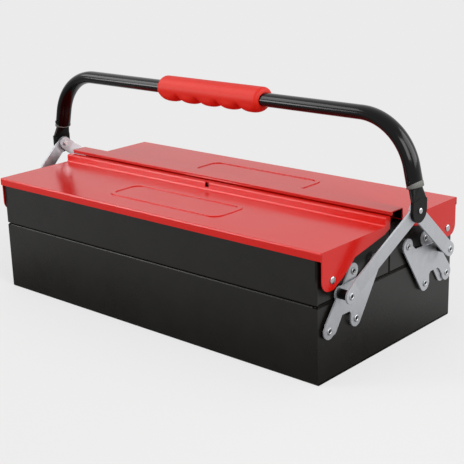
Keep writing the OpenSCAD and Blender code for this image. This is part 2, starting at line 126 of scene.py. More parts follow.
# The share of room grey that the eye sees on the patch, and the most that is mirrored in front of
# the box. From END_STARTS to END_CLEAR along x, that share rises to the whole.
SEEN_NEAR, MIRRORED_FRONT = 0.74, 0.60
END_STARTS, END_CLEAR = 0.17, 0.27

floor_mesh = bpy.data.meshes.new("floor")
half = FLOOR_SIZE / 2
corners = [(-half, -half, 0), (half, -half, 0), (half, half, 0), (-half, half, 0)]
floor_mesh.from_pydata(corners, [], [(0, 1, 2, 3)])
floor = bpy.data.objects.new("floor", floor_mesh)
bpy.context.scene.collection.objects.link(floor)

# Matt uncoated paper has no gloss, so it takes the box's soft shadow and shows no reflection. With
# the distance from the shaded patch by the box, it fades into an even grey like the room's.
paper = bpy.data.materials.new("studio paper")
paper.use_nodes = True
tree = paper.node_tree
tree.nodes.clear()
direct = node(tree, "ShaderNodeLightPath").outputs["Is Camera Ray"]
tone = node(tree, "ShaderNodeMix", {"data_type": "RGBA"}, in0=direct, in6=linear(PAPER_GREY),
            in7=linear(PAPER_WHITE))
matt = node(tree, "ShaderNodeBsdfDiffuse", Color=tone.outputs[2])
pale = node(tree, "ShaderNodeEmission", Color=linear(ROOM_GREY), Strength=1.0)
spot = node(tree, "ShaderNodeTexCoord").outputs["Object"]
moved = node(tree, "ShaderNodeVectorMath", {"operation": "SUBTRACT"}, in0=spot, in1=SHADE_MIDDLE)
one_quarter = node(tree, "ShaderNodeVectorMath", {"operation": "ABSOLUTE"}, in0=moved.outputs[0])
past = node(tree, "ShaderNodeVectorMath", {"operation": "SUBTRACT"}, in0=one_quarter.outputs[0],
            in1=SHADE_HALF)
outside = node(tree, "ShaderNodeVectorMath", {"operation": "MAXIMUM"}, in0=past.outputs[0],
               in1=(0.0, 0.0, 0.0))
distance = node(tree, "ShaderNodeVectorMath", {"operation": "LENGTH"}, in0=outside.outputs[0])
reach = node(tree, "ShaderNodeMath", {"operation": "MULTIPLY_ADD"}, in0=direct,
             in1=SEEN_REACH - MIRRORED_REACH, in2=MIRRORED_REACH)
least = node(tree, "ShaderNodeMath", {"operation": "MULTIPLY"}, in0=direct, in1=SEEN_NEAR)
along = node(tree, "ShaderNodeSeparateXYZ", Vector=spot).outputs["X"]
mirrored_most = node(tree, "ShaderNodeMapRange", Value=along, From_Min=END_STARTS, From_Max=END_CLEAR,
                     To_Min=MIRRORED_FRONT, To_Max=1.0)
most = node(tree, "ShaderNodeMath", {"operation": "MAXIMUM"}, in0=direct, in1=mirrored_most.outputs[0])
fade = node(tree, "ShaderNodeMapRange", {"interpolation_type": "SMOOTHSTEP"},
            Value=distance.outputs["Value"], From_Min=0.0, From_Max=reach.outputs[0],
            To_Min=least.outputs[0], To_Max=most.outputs[0])
evened = node(tree, "ShaderNodeMath", {"operation": "MULTIPLY"}, in0=fade.outputs[0],
              in1=seen_or_mirrored(tree))
mixed = node(tree, "ShaderNodeMixShader", in0=evened.outputs[0], in1=matt.outputs[0], in2=pale.outputs[0])
node(tree, "ShaderNodeOutputMaterial", Surface=mixed.outputs[0])
floor_mesh.materials.append(paper)

# ---- lamps ----
# One broad soft lamp stands high on the right, and a weaker one on the left front lights the long
# side. Two reflectors only draw soft bands along the polished tube.


def lamp(name, place, aim, size, power, lights=True):
    """A square soft lamp of this size in metres and power in watts, at place, facing aim.

    With lights=False it is a reflector that only shows in polished faces.
    """
    light = bpy.data.objects.new(name, bpy.data.lights.new(name, "AREA"))
    light.data.size = size
    light.data.energy = power
    light.location = place
    light.rotation_euler = (Vector(place) - Vector(aim)).to_track_quat("Z", "Y").to_euler()
    light.visible_diffuse = lights
    bpy.context.scene.collection.objects.link(light)


lamp("high right lamp", (1.5, -0.4, 1.05), (0, 0, 0.1), size=0.9, power=17)
lamp("left front lamp", (-1.1, -1.2, 0.55), (-0.1, -0.1, 0.08), size=0.6, power=12)
lamp("high left reflector", (-1.1, -0.45, 1.35), (0.1, 0, 0.2), size=1.0, power=14, lights=False)
lamp("right rear reflector", (1.25, 0.95, 0.9), (0.2, 0, 0.2), size=1.2, power=18, lights=False)

# ---- base box ----
# The lower box is folded from 1 mm steel sheet, with an end plate welded in at each end, and is
# coated in black baking enamel. Its rims are folded in, and it is open to the trays above.
CLOUD_SCALE, CLOUD_GLOSS = 18.0, (0.85, 1.25)
DUST_SCALE, DUST_NOISE, DUST_GREY = 60.0, (0.35, 0.75), "#8a8580"
PEEL_DEPTH = 0.0002

# Noise keeps mostly between these two values.
NOISE_LOW, NOISE_HIGH = 0.3, 0.7


def enamel(name, colour, roughness, peel, peel_size, ior, dust=0.0):
    """Baked enamel on sheet steel: an even colour under a hard clear gloss with fine orange peel.

    The peel is noise of peel_size metres that tips the surface. Noise in clouds of about 55 mm
    takes the roughness from the first to the second share of CLOUD_GLOSS, as on a sprayed and
    baked panel, and noise in patches of about 17 mm mixes in up to the share dust of a dust grey.
    """
    material = bpy.data.materials.new(name)
    material.use_nodes = True
    tree = material.node_tree
    shader = tree.nodes["Principled BSDF"]
    at = node(tree, "ShaderNodeTexCoord").outputs["Object"]
    ripple = node(tree, "ShaderNodeTexNoise", Vector=at, Scale=1 / peel_size, Detail=2.0)
    bump = node(tree, "ShaderNodeBump", Strength=peel, Distance=PEEL_DEPTH, Height=ripple.outputs["Fac"])
    tree.links.new(bump.outputs[0], shader.inputs["Normal"])
    cloud = node(tree, "ShaderNodeTexNoise", Vector=at, Scale=CLOUD_SCALE, Detail=5.0, Roughness=0.65)
    gloss = node(tree, "ShaderNodeMapRange", Value=cloud.outputs["Fac"], From_Min=NOISE_LOW,
                 From_Max=NOISE_HIGH, To_Min=roughness * CLOUD_GLOSS[0], To_Max=roughness * CLOUD_GLOSS[1])
    tree.links.new(gloss.outputs[0], shader.inputs["Roughness"])
    specks = node(tree, "ShaderNodeTexNoise", Vector=at, Scale=DUST_SCALE, Detail=8.0, Roughness=0.7)
    settled = node(tree, "ShaderNodeMapRange", Value=specks.outputs["Fac"], From_Min=DUST_NOISE[0],
                   From_Max=DUST_NOISE[1], To_Min=0.0, To_Max=dust)
    dusted = node(tree, "ShaderNodeMix", {"data_type": "RGBA"}, in0=settled.outputs[0],
                  in6=linear(colour), in7=linear(DUST_GREY))
    tree.links.new(dusted.outputs[2], shader.inputs["Base Color"])
    shader.inputs["IOR"].default_value = ior
    return material


# Baked black enamel is nearly black and softly glossy, so that the floor and room show in it as a
# dim grey. Its orange peel is about 1.6 mm across, and a trace of dust lies on it.
BLACK_ENAMEL = enamel("baked black enamel", "#110f0c", 0.28, 0.10, 0.0016, ior=1.39, dust=0.014)

WELD_GAP, FLAT_TURN = 1e-6, radians(0.2)


def soften(obj, edge, turn):
    """Finishes a piece: welds its points that meet, breaks its sharp edges and smooths its folds.

    Edge is the width of the broken edge in metres, or 0 to leave the edges as they are. Faces that
    meet at less than turn degrees shade as one.
    """
    weld = obj.modifiers.new("weld", "WELD")
    weld.merge_threshold = WELD_GAP
    if edge:
        flat = obj.modifiers.new("flats", "DECIMATE")
        flat.decimate_type = "DISSOLVE"
        flat.angle_limit = FLAT_TURN
        broken = obj.modifiers.new("broken edges", "BEVEL")
        broken.width = edge
        broken.segments = 2
        broken.limit_method = "ANGLE"
        broken.angle_limit = radians(turn)
    group = bpy.data.node_groups.get("smooth folds %d" % turn)
    if not group:
        group = bpy.data.node_groups.new("smooth folds %d" % turn, "GeometryNodeTree")
        group.interface.new_socket("Geometry", in_out="INPUT", socket_type="NodeSocketGeometry")
        group.interface.new_socket("Geometry", in_out="OUTPUT", socket_type="NodeSocketGeometry")
        enter = node(group, "NodeGroupInput")
        smooth = node(group, "GeometryNodeSetShadeSmooth", {"domain": "FACE"}, Geometry=enter.outputs[0],
                      Shade_Smooth=True)
        bend = node(group, "GeometryNodeInputMeshEdgeAngle")
        sharp = node(group, "ShaderNodeMath", {"operation": "GREATER_THAN"},
                     in0=bend.outputs["Unsigned Angle"], in1=radians(turn))
        crease = node(group, "GeometryNodeSetShadeSmooth", {"domain": "EDGE"}, Geometry=smooth.outputs[0],
                      Selection=sharp.outputs[0], Shade_Smooth=False)
        node(group, "NodeGroupOutput", in0=crease.outputs[0])
    folds = obj.modifiers.new("smooth folds", "NODES")
    folds.node_group = group


# The folds of the sheet turn by less than this many degrees from one face to the next.
SHEET_SMOOTH = 32


def coat(material, *names, edge):
    """Gives these CAD pieces a finish, softens their edges and folds, and shades their flats evenly."""
    for name in names:
        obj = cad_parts[name]
        obj.data.materials.clear()
        obj.data.materials.append(material)
        soften(obj, edge, SHEET_SMOOTH)
        even = obj.modifiers.new("even flats", "WEIGHTED_NORMAL")
        even.keep_sharp = True


# Specular level of enamel without and with painted shade, and how strong the painted shade is high on the
# end plates and on the upward rims.
UNSHADED_SHEEN, SEAM_SHADE_SHEEN = 0.5, 0.08
HIGH_FADE, HIGH_SHADE, RIM_SHADE = 0.008, 0.85, 0.8
FACING_UP = 0.3


def paint_seam_shade(material, seam, half_width, end, under):
    """Paints shade into the enamel along the seams and high on the end plates, so they stay dark.

    One seam is level at the height of seam, and the other rises from it at y = 0. The painted shade
    reaches half_width each side, on faces further out than end. It also lies there above the
    height of under, as the shade of the lids' flanges and the arms, and more thinly on the rims that
    face up along the level seam, where it dims their highlight. The more of it, the lower the
    specular level.
    """
    tree = material.node_tree
    at = node(tree, "ShaderNodeSeparateXYZ", Vector=node(tree, "ShaderNodeTexCoord").outputs["Object"])
    level = node(tree, "ShaderNodeMath", {"operation": "COMPARE"}, in0=at.outputs["Z"], in1=seam,
                 in2=half_width)
    upright = node(tree, "ShaderNodeMath", {"operation": "COMPARE"}, in0=at.outputs["Y"], in1=0.0,
                   in2=half_width)
    above = node(tree, "ShaderNodeMath", {"operation": "GREATER_THAN"}, in0=at.outputs["Z"], in1=seam)
    rising = node(tree, "ShaderNodeMath", {"operation": "MULTIPLY"}, in0=upright.outputs[0],
                  in1=above.outputs[0])
    seams = node(tree, "ShaderNodeMath", {"operation": "MAXIMUM"}, in0=level.outputs[0],
                 in1=rising.outputs[0])
    high = node(tree, "ShaderNodeMapRange", {"interpolation_type": "SMOOTHSTEP"}, Value=at.outputs["Z"],
                From_Min=under, From_Max=under + HIGH_FADE, To_Min=0.0, To_Max=HIGH_SHADE)
    either = node(tree, "ShaderNodeMath", {"operation": "MAXIMUM"}, in0=seams.outputs[0],
                  in1=high.outputs[0])
    from_middle = node(tree, "ShaderNodeMath", {"operation": "ABSOLUTE"}, in0=at.outputs["X"])
    outer = node(tree, "ShaderNodeMath", {"operation": "GREATER_THAN"}, in0=from_middle.outputs[0], in1=end)
    on_ends = node(tree, "ShaderNodeMath", {"operation": "MULTIPLY"}, in0=either.outputs[0],
                   in1=outer.outputs[0])
    normal = node(tree, "ShaderNodeNewGeometry").outputs["True Normal"]
    facing = node(tree, "ShaderNodeSeparateXYZ", Vector=normal)
    upward = node(tree, "ShaderNodeMath", {"operation": "GREATER_THAN"}, in0=facing.outputs["Z"],
                  in1=FACING_UP)
    rim = node(tree, "ShaderNodeMath", {"operation": "MULTIPLY"}, in0=level.outputs[0],
               in1=upward.outputs[0])
    on_rims = node(tree, "ShaderNodeMath", {"operation": "MULTIPLY"}, in0=rim.outputs[0], in1=RIM_SHADE)
    painted_shade = node(tree, "ShaderNodeMath", {"operation": "MAXIMUM"}, in0=on_ends.outputs[0],
                in1=on_rims.outputs[0])
    sheen = node(tree, "ShaderNodeMapRange", Value=painted_shade.outputs[0], To_Min=UNSHADED_SHEEN, To_Max=SEAM_SHADE_SHEEN)
    tree.links.new(sheen.outputs[0], tree.nodes["Principled BSDF"].inputs["Specular IOR Level"])


# Painted shade: the seams, the upper end plates and the rims along the seam are darkened.
paint_seam_shade(BLACK_ENAMEL, seam=0.07225, half_width=0.0016, end=0.2075, under=0.091)
coat(BLACK_ENAMEL, "base_body", "base_end_plates", edge=0)

# ---- trays ----
# Each upper tray is folded and welded from sheet like the base, and has the same black enamel. It
# carries the washers and pins that its links turn on.
coat(BLACK_ENAMEL, "front_tray_body", "rear_tray_body", "front_tray_end_plates", "rear_tray_end_plates",
     edge=0)

# ---- links ----
# The rockers and ties are blanked from 1.5 mm steel and zinc plated: a fine satin grey with a
# faint grain, dull where the shears left the edge.
GRAIN_SCALE, GRAIN_SHARE, GRAIN_DEPTH, GRAIN_STRENGTH = (900.0, 900.0, 120.0), 0.35, 0.0001, 0.12
PATCH_SCALE, PATCH_NOISE, PATCH_ROUGHNESS, PATCH_SHADE = 70.0, (0.5, 0.85), (0.8, 1.3), 0.86
EDGE_FACING, FLAT_FACING = 0.55, 0.95


def zinc(name, colour, roughness, edge_roughness=0.0):
    """Zinc plating on a blanked steel strip: satin metal with a faint rolled grain and dull patches.

    A face whose normal has a share along x over FLAT_FACING is a flat of the strip, and one under
    EDGE_FACING is a sheared edge, as rough as edge_roughness. The grain is noise drawn out along
    z, about 1 mm by 8 mm, which is coarser than the real grain so that it shows. The patches are
    noise about 14 mm across. Both vary the roughness, and the patches take the colour down to the
    share PATCH_SHADE of its light.
    """
    material = bpy.data.materials.new(name)
    material.use_nodes = True
    tree = material.node_tree
    shader = tree.nodes["Principled BSDF"]
    shader.inputs["Metallic"].default_value = 1.0
    at = node(tree, "ShaderNodeTexCoord").outputs["Object"]
    drawn = node(tree, "ShaderNodeMapping", Vector=at, Scale=GRAIN_SCALE)
    grain = node(tree, "ShaderNodeTexNoise", Vector=drawn.outputs[0], Scale=1.0, Detail=3.0)
    patches = node(tree, "ShaderNodeTexNoise", Vector=at, Scale=PATCH_SCALE, Detail=6.0, Roughness=0.6)
    both = node(tree, "ShaderNodeMath", {"operation": "MULTIPLY_ADD"}, in0=grain.outputs["Fac"],
                in1=GRAIN_SHARE, in2=patches.outputs["Fac"])
    dull = node(tree, "ShaderNodeMapRange", Value=both.outputs[0], From_Min=PATCH_NOISE[0],
                From_Max=PATCH_NOISE[1], To_Min=roughness * PATCH_ROUGHNESS[0],
                To_Max=roughness * PATCH_ROUGHNESS[1])
    normal = node(tree, "ShaderNodeNewGeometry").outputs["True Normal"]
    facing = node(tree, "ShaderNodeSeparateXYZ", Vector=normal)
    flat = node(tree, "ShaderNodeMath", {"operation": "ABSOLUTE"}, in0=facing.outputs["X"])
    sheared = node(tree, "ShaderNodeMapRange", Value=flat.outputs[0], From_Min=EDGE_FACING,
                   From_Max=FLAT_FACING, To_Min=edge_roughness, To_Max=0.0)
    rough = node(tree, "ShaderNodeMath", {"operation": "MAXIMUM"}, in0=dull.outputs[0],
                 in1=sheared.outputs[0])
    tree.links.new(rough.outputs[0], shader.inputs["Roughness"])
    shade = node(tree, "ShaderNodeMapRange", Value=patches.outputs["Fac"], From_Min=NOISE_LOW,
                 From_Max=NOISE_HIGH, To_Min=0.0, To_Max=1.0)
    plating = node(tree, "ShaderNodeMix", {"data_type": "RGBA"}, in0=shade.outputs[0],
                   in6=linear(colour), in7=linear(colour, PATCH_SHADE))
    tree.links.new(plating.outputs[2], shader.inputs["Base Color"])
    bump = node(tree, "ShaderNodeBump", Strength=GRAIN_STRENGTH, Distance=GRAIN_DEPTH,
                Height=grain.outputs["Fac"])
    tree.links.new(bump.outputs[0], shader.inputs["Normal"])
    return material


# Zinc plated strip is a bluish light grey that spreads its reflections wide, so that the links
# look almost even, and its sheared edges are duller still.
ZINC = zinc("zinc plated strip", "#bfc1c5", 0.44, edge_roughness=0.85)
coat(ZINC, "front_rockers", "rear_rockers", "front_ties", "rear_ties", edge=0.0003)

# ---- lids ----
# Each lid is pressed from 1 mm sheet with folded skirts, a stepped ridge at the middle and an
# ear at each end that pivots on the tray. They are sprayed in gloss red.
# Painted shade inside the ridge's ends: its near black colour, its specular level, and the length it fades
# in over.
RIDGE_SHADE_BLACK, RIDGE_SHADE_SHEEN, RIDGE_SHADE_FADE = "#0c0a09", 0.05, 0.004

# Baked red enamel is an even, full red with a smooth gloss: lamps show on it as a soft pale sheen.
# Its orange peel is about 1.8 mm across and barely raised.
RED_ENAMEL = enamel("baked red enamel", "#d4180f", 0.19, 0.04, 0.0018, ior=1.39)


def paint_ridge_shade(material, half_wide, start, end, split, front_under, rear_under):
    """Paints shade on the sheet inside the ridge's two ends: near black with a low specular level.

    The space is half_wide each side of the middle, and runs from start to end along x, where the
    painted shade comes in over RIDGE_SHADE_FADE. Its roof is at front_under ahead of y = split, and at
    rear_under behind it.
    """
    tree = material.node_tree
    shader = tree.nodes["Principled BSDF"]
    at = node(tree, "ShaderNodeSeparateXYZ", Vector=node(tree, "ShaderNodeTexCoord").outputs["Object"])
    across = node(tree, "ShaderNodeMath", {"operation": "COMPARE"}, in0=at.outputs["Y"], in1=0.0,
                  in2=half_wide)
    along = node(tree, "ShaderNodeMath", {"operation": "COMPARE"}, in0=at.outputs["X"], in1=0.0, in2=end)
    behind = node(tree, "ShaderNodeMath", {"operation": "GREATER_THAN"}, in0=at.outputs["Y"], in1=split)
    roof = node(tree, "ShaderNodeMath", {"operation": "MULTIPLY_ADD"}, in0=behind.outputs[0],
                in1=rear_under - front_under, in2=front_under)
    below = node(tree, "ShaderNodeMath", {"operation": "LESS_THAN"}, in0=at.outputs["Z"],
                 in1=roof.outputs[0])
    both = node(tree, "ShaderNodeMath", {"operation": "MULTIPLY"}, in0=across.outputs[0],
                in1=along.outputs[0])
    from_middle = node(tree, "ShaderNodeMath", {"operation": "ABSOLUTE"}, in0=at.outputs["X"])
    fade = node(tree, "ShaderNodeMapRange", {"interpolation_type": "SMOOTHSTEP"},
                Value=from_middle.outputs[0], From_Min=start, From_Max=start + RIDGE_SHADE_FADE,
                To_Min=0.0, To_Max=1.0)
    hidden = node(tree, "ShaderNodeMath", {"operation": "MULTIPLY"}, in0=both.outputs[0],
                  in1=below.outputs[0])
    shade_share = node(tree, "ShaderNodeMath", {"operation": "MULTIPLY"}, in0=hidden.outputs[0],
                in1=fade.outputs[0])
    base_colour = shader.inputs["Base Color"].links[0].from_socket
    shaded_colour = node(tree, "ShaderNodeMix", {"data_type": "RGBA"}, in0=shade_share.outputs[0], in6=base_colour,
                  in7=linear(RIDGE_SHADE_BLACK))
    tree.links.new(shaded_colour.outputs[2], shader.inputs["Base Color"])
    sheen = node(tree, "ShaderNodeMapRange", Value=shade_share.outputs[0], To_Min=UNSHADED_SHEEN,
                 To_Max=RIDGE_SHADE_SHEEN)
    tree.links.new(sheen.outputs[0], shader.inputs["Specular IOR Level"])


# Painted shade: the sheet under the ridge's ends is coloured near black.
paint_ridge_shade(RED_ENAMEL, half_wide=0.0132, start=0.203, end=0.2139, split=-0.0028, front_under=0.1286,
          rear_under=0.1321)
coat(RED_ENAMEL, "front_lid", "rear_lid", edge=0.0004)

# ---- rivets and washers ----
# Tubular rivets join the links: a short steel tube whose end is rolled over into a ring round
# its dark bore. The lids turn on solid rivets with a polished dome. All are zinc plated.
RIVET_SIDES, RIVET_SMOOTH, CURVE_POINTS = 28, 40, 9
SHANK_R, PLAY = 0.0020, 0.00015
TAIL_R, TAIL_H, TAIL_LIP, TAIL_BEVEL, TAIL_BULGE = 0.0030, 0.0007, 0.0010, 0.0002, 0.0001
BORE_R, BORE_FLOOR, BORE_ROWS = 0.0015, 0.0004, 3
RING_R, RING_HALF, RING_H = 0.0024, 0.0009, 0.00085
DOME_RIM = 0.3

# Fresh bright zinc mirrors the lamps in small hard glints, and a rolled ring is rubbed duller than
# that. The inside of a tube is painted near black as shade.
BRIGHT_ZINC = zinc("bright zinc rivet", "#bcbec0", 0.16)
DULL_ZINC = zinc("rolled zinc eyelet", "#a9abad", 0.42)
# Painted shade: the faces inside each rivet's bore are near black.
BORE_SHADE = enamel("oiled bore", "#0a0908", 0.6, 0.1, 0.001, ior=1.2)
coat(BRIGHT_ZINC, "base_pivot_washers", "tie_base_pins", "front_lid_washers", "rear_lid_washers",
     "front_tray_washers", "rear_tray_washers", edge=0)


def skin(name, grids, material):
    """A surface from grids of points, (along, round, xyz): four-sided faces between neighbours.

    The last point of each ring joins its first. Points that meet are left for soften to weld.
    """
    points, faces, start = [], [], 0
    for grid in grids:
        rings, sides = grid.shape[:2]
        index = start + np.arange(rings * sides).reshape(rings, sides)
        index = np.concatenate([index, index[:, :1]], axis=1)
        quads = np.stack([index[:-1, :-1], index[1:, :-1], index[1:, 1:], index[:-1, 1:]], -1)
        faces.append(quads.reshape(-1, 4))
        points.append(grid.reshape(-1, 3))
        start += rings * sides
    mesh = bpy.data.meshes.new(name)
    mesh.from_pydata(np.concatenate(points).tolist(), [], np.concatenate(faces).tolist())
    mesh.materials.append(material)
    obj = bpy.data.objects.new(name, mesh)
    bpy.context.scene.collection.objects.link(obj)
    return obj


def turned(profile, y, z, end):
    """One turned piece on an axis along x: profile holds (radius, distance out along x) from its
    outer pole to its inner pole, and is swept round the axis at (y, z) on the box's end +1 or -1."""
    profile = np.asarray(profile, float)
    turn = np.linspace(0, 2 * pi * end, RIVET_SIDES, endpoint=False)
    radius, outwards = profile[:, :1], profile[:, 1:]
    return np.stack([end * np.repeat(outwards, RIVET_SIDES, 1), y + radius * np.cos(turn),
                     z + radius * np.sin(turn)], -1)


def tubular(inner, outer, tail_r=TAIL_R, tail_h=TAIL_H):
    """Profile of a tubular rivet between these faces, from its bore inwards.

    The bore runs down to its floor, the rolled ring is half an ellipse over the outer face, and
    the shank ends in a flat tail of radius tail_r and height tail_h.
    """
    roll = np.linspace(0, pi, CURVE_POINTS)
    ring = np.stack([RING_R - RING_HALF * np.cos(roll), outer + PLAY + RING_H * np.sin(roll)], 1)
    bore = [(0, inner + BORE_FLOOR), (BORE_R, inner + BORE_FLOOR), (BORE_R, outer)]
    tail_in = inner - PLAY - tail_h
    return np.concatenate([bore, ring, [
        (SHANK_R, outer + PLAY), (SHANK_R, inner - PLAY), (tail_r, inner - PLAY),
        (tail_r - TAIL_BEVEL, tail_in), (0, tail_in - TAIL_BULGE)]])


def domed(inner, outer, head_r, head_h, shank_r=SHANK_R):
    """Profile of a solid rivet between these faces, from its dome's pole inwards.

    The dome is a quarter of an ellipse on a rim of the share DOME_RIM of the head's height, and
    the shank ends in a flat tail that is TAIL_LIP wider.
    """
    rise = np.linspace(pi / 2, 0, CURVE_POINTS)
    height = head_h * (DOME_RIM + (1 - DOME_RIM) * np.sin(rise))
    dome = np.stack([head_r * np.cos(rise), outer + PLAY + height], 1)
    tail_in = inner - PLAY - TAIL_H
    return np.concatenate([dome, [
        (head_r, outer + PLAY), (shank_r, outer + PLAY), (shank_r, inner - PLAY),
        (shank_r + TAIL_LIP, inner - PLAY), (shank_r + TAIL_LIP - TAIL_BEVEL, tail_in),
        (0, tail_in - TAIL_BULGE)]])


def rivets(name, profile, pivot, sides, body, stands_for, bore_rows=0):
    """The same rivet at both ends of the box, riding on one body in place of a CAD piece.

    Pivot is (distance from the middle along y, height), and sides are +1 for the rear and -1 for
    the front. The profile's first bore_rows bands are a tubular rivet's bore, in painted shade.
    """
    reach, height = pivot
    obj = skin(name, [turned(profile, side * reach, height, end) for side in sides for end in (1, -1)],
               DULL_ZINC if bore_rows else BRIGHT_ZINC)
    obj.data.materials.append(BORE_SHADE)
    row = np.arange(len(obj.data.polygons)) // RIVET_SIDES % (len(profile) - 1)
    obj.data.polygons.foreach_set("material_index", (row < bore_rows).astype(np.int32))
    soften(obj, 0, RIVET_SMOOTH)
    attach(obj, body)
    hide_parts(stands_for)


# Faces of the layers that the rivets hold, out from the middle of the box: the inside of the end
# plate, then the outsides of the tie, the rocker, the lid's flange and the arm on its sleeve.
END_IN, TIE_OUT, ROCKER_OUT, FLANGE_OUT, ARM_OUT = 0.2090, 0.2118, 0.2136, 0.2148, 0.2259

# The eyelets in the rocker's outer lobe and in the arm have no tail, and end inside the rocker and
# inside the sleeve.
LOBE_IN, SLEEVE_IN = 0.2125, 0.2144

# Each pivot is its distance from the middle along y, and its height.
BASE_PIVOT, TRAY_PIVOT, TIE_PIVOT = (0.056, 0.048), (0.026, 0.092), (0.058, 0.092)
LOBE_PIVOT, ARM_PIVOT, LID_PIVOT = (0.095, 0.048), (0.080, 0.078), (0.0925, 0.094)
LID_HEAD_R, LID_HEAD_H = 0.0034, 0.0013

rivets("base_pivot_eyelets", tubular(END_IN, ROCKER_OUT), BASE_PIVOT, (1, -1), "base",
       "base_pivot_rivets", BORE_ROWS)
for side, sign in (("front", -1), ("rear", 1)):
    rivets(side + "_tray_pivot_eyelets", tubular(END_IN, ROCKER_OUT), TRAY_PIVOT, (sign,),
           side + "_tray", side + "_tray_rivets", BORE_ROWS)
    rivets(side + "_tie_eyelets", tubular(END_IN, TIE_OUT), TIE_PIVOT, (sign,),
           side + "_tray", side + "_tie_pins", BORE_ROWS)
    rivets(side + "_outer_lobe_eyelets", tubular(LOBE_IN, ROCKER_OUT - PLAY, SHANK_R, 0), LOBE_PIVOT,
           (sign,), side + "_rocker_links", side + "_lobe_rivets", BORE_ROWS)
    rivets(side + "_arm_eyelets", tubular(SLEEVE_IN, ARM_OUT - PLAY, SHANK_R, 0), ARM_PIVOT,
           (sign,), side + "_arm_pair", side + "_arm_rivets", BORE_ROWS)
    rivets(side + "_lid_pivot_domes", domed(END_IN, FLANGE_OUT, LID_HEAD_R, LID_HEAD_H), LID_PIVOT,
           (sign,), side + "_tray", side + "_lid_rivets")

# ---- rolled edge ----
# The rear lid's strip reaches over the middle, and its steel edge is rolled under to stiffen it.
# The roll closes most of the gap over the front lid's ledge, so that a thin dark line is left.
ROLL_R, ROLL_Y, ROLL_Z, ROLL_END = 0.0017, -0.00335, 0.13045, 0.2143
ROLL_SIDES, ROLL_CHAMFER, ROLL_END_R, ROLL_SMOOTH = 24, 0.0003, 0.8 * ROLL_R, 50

# A straight round bar along x: its radius is zero at both poles, ROLL_END_R at the end faces, and
# ROLL_R past the chamfers.
roll_turn = np.linspace(0, 2 * pi, ROLL_SIDES, endpoint=False)
roll_x = np.array([-ROLL_END, -ROLL_END, -ROLL_END + ROLL_CHAMFER])
roll_x = np.concatenate([roll_x, -roll_x[::-1]])[:, None]
roll_r = np.array([0.0, ROLL_END_R, ROLL_R, ROLL_R, ROLL_END_R, 0.0])[:, None]
roll = np.stack([np.repeat(roll_x, ROLL_SIDES, 1), ROLL_Y + roll_r * np.sin(roll_turn),
                 ROLL_Z + roll_r * np.cos(roll_turn)], -1)
rolled = skin("rear_lid_rolled_edge", [roll], RED_ENAMEL)
soften(rolled, 0, ROLL_SMOOTH)
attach(rolled, "rear_lid_flap")

# ---- handle tube ----
# The bail is one oval steel tube, 13 mm deep and 19 mm wide, bent at both ends and sprayed gloss
# black. A thin ferrule of worn bare steel finishes each end, where the bracket's plug goes in.
TUBE_DEEP, TUBE_WIDE, TUBE_WALL, TUBE_TOP = 0.013, 0.019, 0.0012, 0.218
BEND_R, BEND_TURN, LEG, LEG_END = 0.055, radians(77), 0.018, 0.2359
TUBE_SIDES, TUBE_SMOOTH, TUBE_EDGE = 56, 50, 0.0003
TOP_RINGS, BEND_RINGS, LEG_RINGS = 39, 33, 6

# Gloss black enamel on the tube is a true black, whose smooth curve draws the lamps out into long
# bright lines. Its orange peel is about 2 mm across and very shallow.
BLACK_GLOSS = enamel("gloss black enamel", "#020202", 0.14, 0.05, 0.002, ior=1.30)

# Half of the tube's run, from the middle: level, then round an arc that turns down through
# BEND_TURN, then straight on down the leg. The other half is its mirror image.
straight_end = LEG_END - LEG * cos(BEND_TURN) - BEND_R * sin(BEND_TURN)
level_x = np.linspace(0, straight_end, TOP_RINGS + 1)[:-1]
top = np.stack([level_x, np.full(TOP_RINGS, TUBE_TOP), np.zeros(TOP_RINGS)], 1)
swing = np.linspace(0, BEND_TURN, BEND_RINGS)
bend = np.stack([straight_end + BEND_R * np.sin(swing), TUBE_TOP - BEND_R * (1 - np.cos(swing)), swing], 1)
leg_down = np.linspace(0, LEG, LEG_RINGS + 1)[1:]
leg = np.stack([bend[-1, 0] + leg_down * cos(BEND_TURN), bend[-1, 1] - leg_down * sin(BEND_TURN),
                np.full(LEG_RINGS, BEND_TURN)], 1)
half_run = np.concatenate([top, bend, leg])
run = np.concatenate([half_run[:0:-1] * [-1, 1, -1], half_run])


def oval_run(run, deep, wide):
    """An oval tube along a run of (x, z, turn down from level): each ring is an ellipse, deep across
    the run in its own plane and wide along y. Deep and wide are one value each, or one per ring."""
    turn_round = np.linspace(0, 2 * pi, TUBE_SIDES, endpoint=False)
    x, z, turn_down = run.T[:, :, None]
    over = (np.ones(len(run)) * deep)[:, None] / 2 * np.cos(turn_round)
    across = (np.ones(len(run)) * wide)[:, None] / 2 * np.sin(turn_round)
    return np.stack([x + over * np.sin(turn_down), across, z + over * np.cos(turn_down)], -1)


outer_wall = oval_run(run, TUBE_DEEP, TUBE_WIDE)
inner_wall = oval_run(run[::-1], TUBE_DEEP - 2 * TUBE_WALL, TUBE_WIDE - 2 * TUBE_WALL)
handle_tube = skin("bail_tube", [np.concatenate([outer_wall, inner_wall, outer_wall[:1]])], BLACK_GLOSS)
soften(handle_tube, TUBE_EDGE, TUBE_SMOOTH)
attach(handle_tube, "handle")
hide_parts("handle_tube")

# The ferrule is a closed band round the tube's end. FERRULE_PROUD is how much wider than the tube
# each ring is, and the upper rings climb the leg, higher on its outside than on its inside.
FERRULE_PROUD = np.array([-0.0006, 0.0004, 0.0007, 0.0007, 0.0003, -0.0003, -0.0006])
FERRULE_MIDDLE, FERRULE_SLANT, FERRULE_LIP, FERRULE_BEVEL = 0.0027, 0.0024, 0.0003, 0.0002
FERRULE_SMOOTH = 40

# Bare steel, worn by the bracket, is a mid grey metal with a blurred shine.
WORN_STEEL = zinc("worn steel ferrule", "#767673", 0.5)

